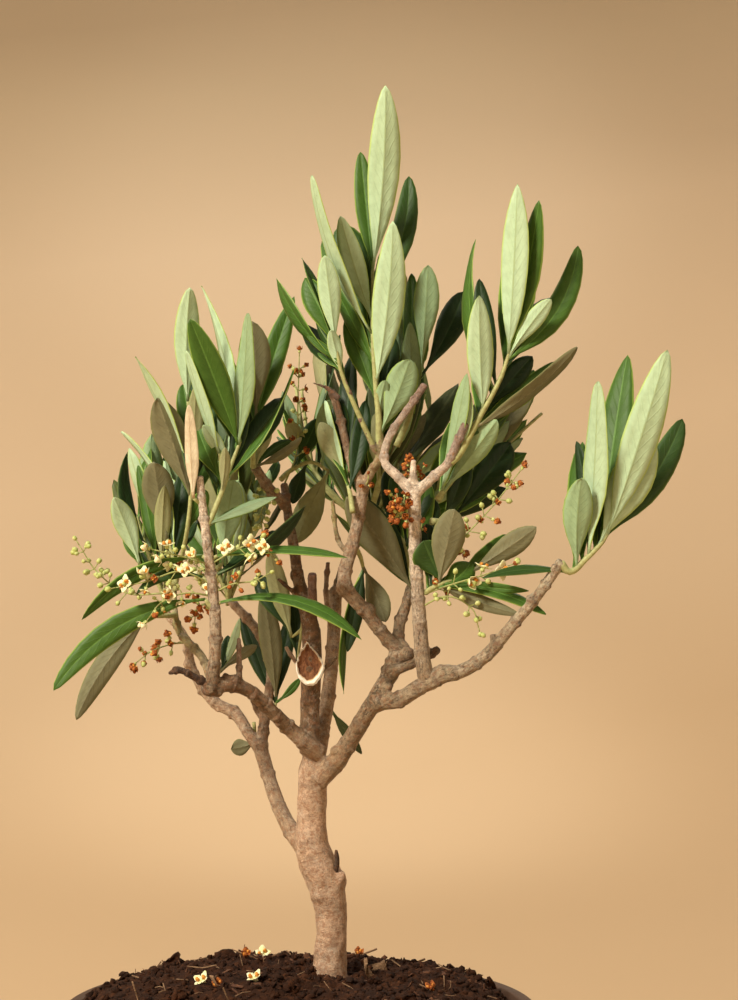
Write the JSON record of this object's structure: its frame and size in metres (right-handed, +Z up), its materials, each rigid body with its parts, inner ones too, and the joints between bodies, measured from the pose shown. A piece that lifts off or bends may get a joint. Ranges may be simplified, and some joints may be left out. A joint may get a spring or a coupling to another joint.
{
  "type": "potted young olive tree",
  "caption": "Young olive tree trained as a starter bonsai, with a leaning trunk, spreading boughs and open tufts of long narrow leaves, in a round tapered pot of soil.",
  "frame": {"origin": "centre of the pot's flat underside, on the surface it stands on", "axes": "+Z up; -Y is the front of the tree, +X its right seen from the front"},
  "size_m": [0.2059, 0.1746, 0.426],
  "materials": {
    "bark": "rough grey-brown olive bark",
    "pale_bark": "pale flecked young bark",
    "dead_wood": "dry dark dead wood",
    "foliage": "leathery leaves, dark green above and silvery below",
    "blossom": "cream petals and green buds, some dried to rust",
    "pot_plastic": "moulded black-brown plastic, satin",
    "potting_soil": "moist dark crumbly compost"
  },
  "bodies": {
    "root": {"pot": "pot_plastic", "soil": "potting_soil", "trunk": "bark", "right_bough": "bark", "right_outer_limb": "bark", "inner_bough": "bark", "inner_limb": "bark", "inner_left_arm": "bark", "inner_right_arm": "bark", "inner_short_limb": "bark", "left_bough": "bark", "left_upright": "bark", "left_cut_twig": "bark", "middle_bough": "bark", "back_bough": "bark", "back_limb": "bark", "back_twig": "bark", "low_bough": "bark", "low_bough_left_limb": "bark", "low_bough_right_limb": "bark", "right_upright": "pale_bark", "right_upright_left_arm": "pale_bark", "right_upright_right_arm": "pale_bark", "right_upright_stub": "pale_bark", "left_back_limb": "pale_bark", "left_dead_twig": "dead_wood", "middle_cut_stub": "dead_wood", "trunk_snag": "dead_wood", "foliage_top": "foliage", "foliage_top_left": "foliage", "foliage_top_right": "foliage", "foliage_right": "foliage", "foliage_right_low": "foliage", "foliage_far_right": "foliage", "foliage_middle_right": "foliage", "foliage_left_top": "foliage", "foliage_left_tall": "foliage", "foliage_left_outer": "foliage", "foliage_left_drooping": "foliage", "foliage_left_hanging": "foliage", "foliage_front_upper": "foliage", "foliage_front_lower": "foliage", "foliage_hanging": "foliage", "foliage_centre": "foliage", "foliage_centre_back": "foliage", "foliage_back_left": "foliage", "foliage_back_outer": "foliage", "foliage_back_middle": "foliage", "foliage_back_right": "foliage", "foliage_back_top": "foliage", "foliage_back_far_right": "foliage"}
  },
  "joints": []
}
